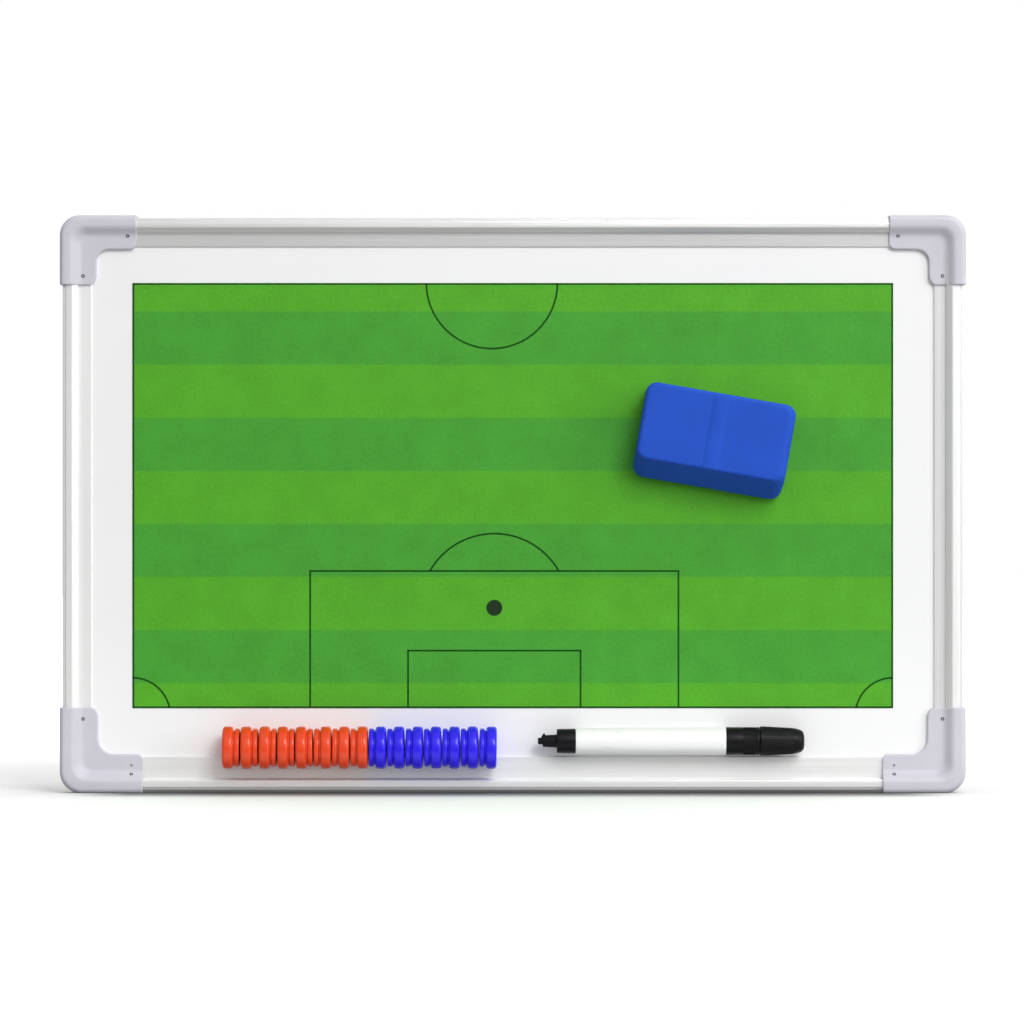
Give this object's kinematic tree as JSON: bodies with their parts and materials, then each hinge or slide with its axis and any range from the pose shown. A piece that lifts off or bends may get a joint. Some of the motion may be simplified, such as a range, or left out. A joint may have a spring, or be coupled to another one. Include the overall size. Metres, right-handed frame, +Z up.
{
  "type": "tactics board",
  "caption": "Framed magnetic tactics board with a printed half pitch, moulded corner caps, disc magnets, a capped marker and an eraser.",
  "frame": {"origin": "midway between the two hanging holes, on the plane of the wall behind the board", "axes": "+X to the right seen from the front, +Y into the wall, +Z up"},
  "size_m": [0.45, 0.0326, 0.287],
  "materials": {
    "backing_foil": "dull foil",
    "fibreboard": "raw fibreboard",
    "coated_steel": "glossy white dry-wipe coat",
    "printed_film": "printed green film",
    "anodised_rail": "satin anodised",
    "cap_plastic": "satin moulded grey",
    "pin_steel": "plain",
    "white_plastic": "glossy moulded",
    "black_plastic": "glossy moulded",
    "nib_fibre": "ink-soaked fibre",
    "reservoir_fibre": "ink-soaked fibre",
    "plated_magnet": "nickel plated",
    "eraser_foam": "dense closed-cell foam",
    "felt": "pressed felt",
    "ferrite": "sintered ferrite",
    "orange_plastic": "glossy moulded",
    "blue_plastic": "glossy moulded"
  },
  "bodies": {
    "board": {"back_sheet": "backing_foil", "core_board": "fibreboard", "steel_sheet": "coated_steel", "pitch_film": "printed_film", "top_rail": "anodised_rail", "bottom_rail": "anodised_rail", "left_rail": "anodised_rail", "right_rail": "anodised_rail", "corner_top_left": "cap_plastic", "corner_top_right": "cap_plastic", "corner_bottom_left": "cap_plastic", "corner_bottom_right": "cap_plastic", "corner_rivets": "pin_steel"},
    "orange_magnet_1_body": {"orange_magnet_1": "orange_plastic"},
    "orange_magnet_2_body": {"orange_magnet_2": "orange_plastic"},
    "orange_magnet_3_body": {"orange_magnet_3": "orange_plastic"},
    "orange_magnet_4_body": {"orange_magnet_4": "orange_plastic"},
    "orange_magnet_5_body": {"orange_magnet_5": "orange_plastic"},
    "orange_magnet_6_body": {"orange_magnet_6": "orange_plastic"},
    "orange_magnet_7_body": {"orange_magnet_7": "orange_plastic"},
    "orange_magnet_8_body": {"orange_magnet_8": "orange_plastic"},
    "blue_magnet_1_body": {"blue_magnet_1": "blue_plastic"},
    "blue_magnet_2_body": {"blue_magnet_2": "blue_plastic"},
    "blue_magnet_3_body": {"blue_magnet_3": "blue_plastic"},
    "blue_magnet_4_body": {"blue_magnet_4": "blue_plastic"},
    "blue_magnet_5_body": {"blue_magnet_5": "blue_plastic"},
    "blue_magnet_6_body": {"blue_magnet_6": "blue_plastic"},
    "blue_magnet_7_body": {"blue_magnet_7": "blue_plastic"},
    "marker": {"marker_barrel": "white_plastic", "marker_end_plug": "black_plastic", "marker_front_section": "black_plastic", "marker_nib": "nib_fibre", "marker_ink_reservoir": "reservoir_fibre"},
    "marker_cap_body": {"marker_cap": "black_plastic", "marker_cap_magnet": "plated_magnet"},
    "eraser": {"eraser_body": "eraser_foam", "eraser_felt": "felt", "eraser_magnets": "ferrite"}
  },
  "joints": [
    {"name": "orange_magnet_1_lift", "type": "slide", "parent": "board", "child": "orange_magnet_1_body", "axis": [0, -1, 0], "range_m": [0, 0.06]},
    {"name": "orange_magnet_2_lift", "type": "slide", "parent": "board", "child": "orange_magnet_2_body", "axis": [0, -1, 0], "range_m": [0, 0.06]},
    {"name": "orange_magnet_3_lift", "type": "slide", "parent": "board", "child": "orange_magnet_3_body", "axis": [0, -1, 0], "range_m": [0, 0.06]},
    {"name": "orange_magnet_4_lift", "type": "slide", "parent": "board", "child": "orange_magnet_4_body", "axis": [0, -1, 0], "range_m": [0, 0.06]},
    {"name": "orange_magnet_5_lift", "type": "slide", "parent": "board", "child": "orange_magnet_5_body", "axis": [0, -1, 0], "range_m": [0, 0.06]},
    {"name": "orange_magnet_6_lift", "type": "slide", "parent": "board", "child": "orange_magnet_6_body", "axis": [0, -1, 0], "range_m": [0, 0.06]},
    {"name": "orange_magnet_7_lift", "type": "slide", "parent": "board", "child": "orange_magnet_7_body", "axis": [0, -1, 0], "range_m": [0, 0.06]},
    {"name": "orange_magnet_8_lift", "type": "slide", "parent": "board", "child": "orange_magnet_8_body", "axis": [0, -1, 0], "range_m": [0, 0.06]},
    {"name": "blue_magnet_1_lift", "type": "slide", "parent": "board", "child": "blue_magnet_1_body", "axis": [0, -1, 0], "range_m": [0, 0.06]},
    {"name": "blue_magnet_2_lift", "type": "slide", "parent": "board", "child": "blue_magnet_2_body", "axis": [0, -1, 0], "range_m": [0, 0.06]},
    {"name": "blue_magnet_3_lift", "type": "slide", "parent": "board", "child": "blue_magnet_3_body", "axis": [0, -1, 0], "range_m": [0, 0.06]},
    {"name": "blue_magnet_4_lift", "type": "slide", "parent": "board", "child": "blue_magnet_4_body", "axis": [0, -1, 0], "range_m": [0, 0.06]},
    {"name": "blue_magnet_5_lift", "type": "slide", "parent": "board", "child": "blue_magnet_5_body", "axis": [0, -1, 0], "range_m": [0, 0.06]},
    {"name": "blue_magnet_6_lift", "type": "slide", "parent": "board", "child": "blue_magnet_6_body", "axis": [0, -1, 0], "range_m": [0, 0.06]},
    {"name": "blue_magnet_7_lift", "type": "slide", "parent": "board", "child": "blue_magnet_7_body", "axis": [0, -1, 0], "range_m": [0, 0.06]},
    {"name": "marker_lift", "type": "slide", "parent": "board", "child": "marker", "axis": [0, -1, 0], "range_m": [0, 0.08]},
    {"name": "marker_cap_pull", "type": "slide", "parent": "marker", "child": "marker_cap_body", "axis": [1, 0, 0], "range_m": [0, 0.045]},
    {"name": "eraser_wipe", "type": "slide", "parent": "board", "child": "eraser", "axis": [1, 0, 0], "range_m": [-0.267, 0.066]}
  ]
}
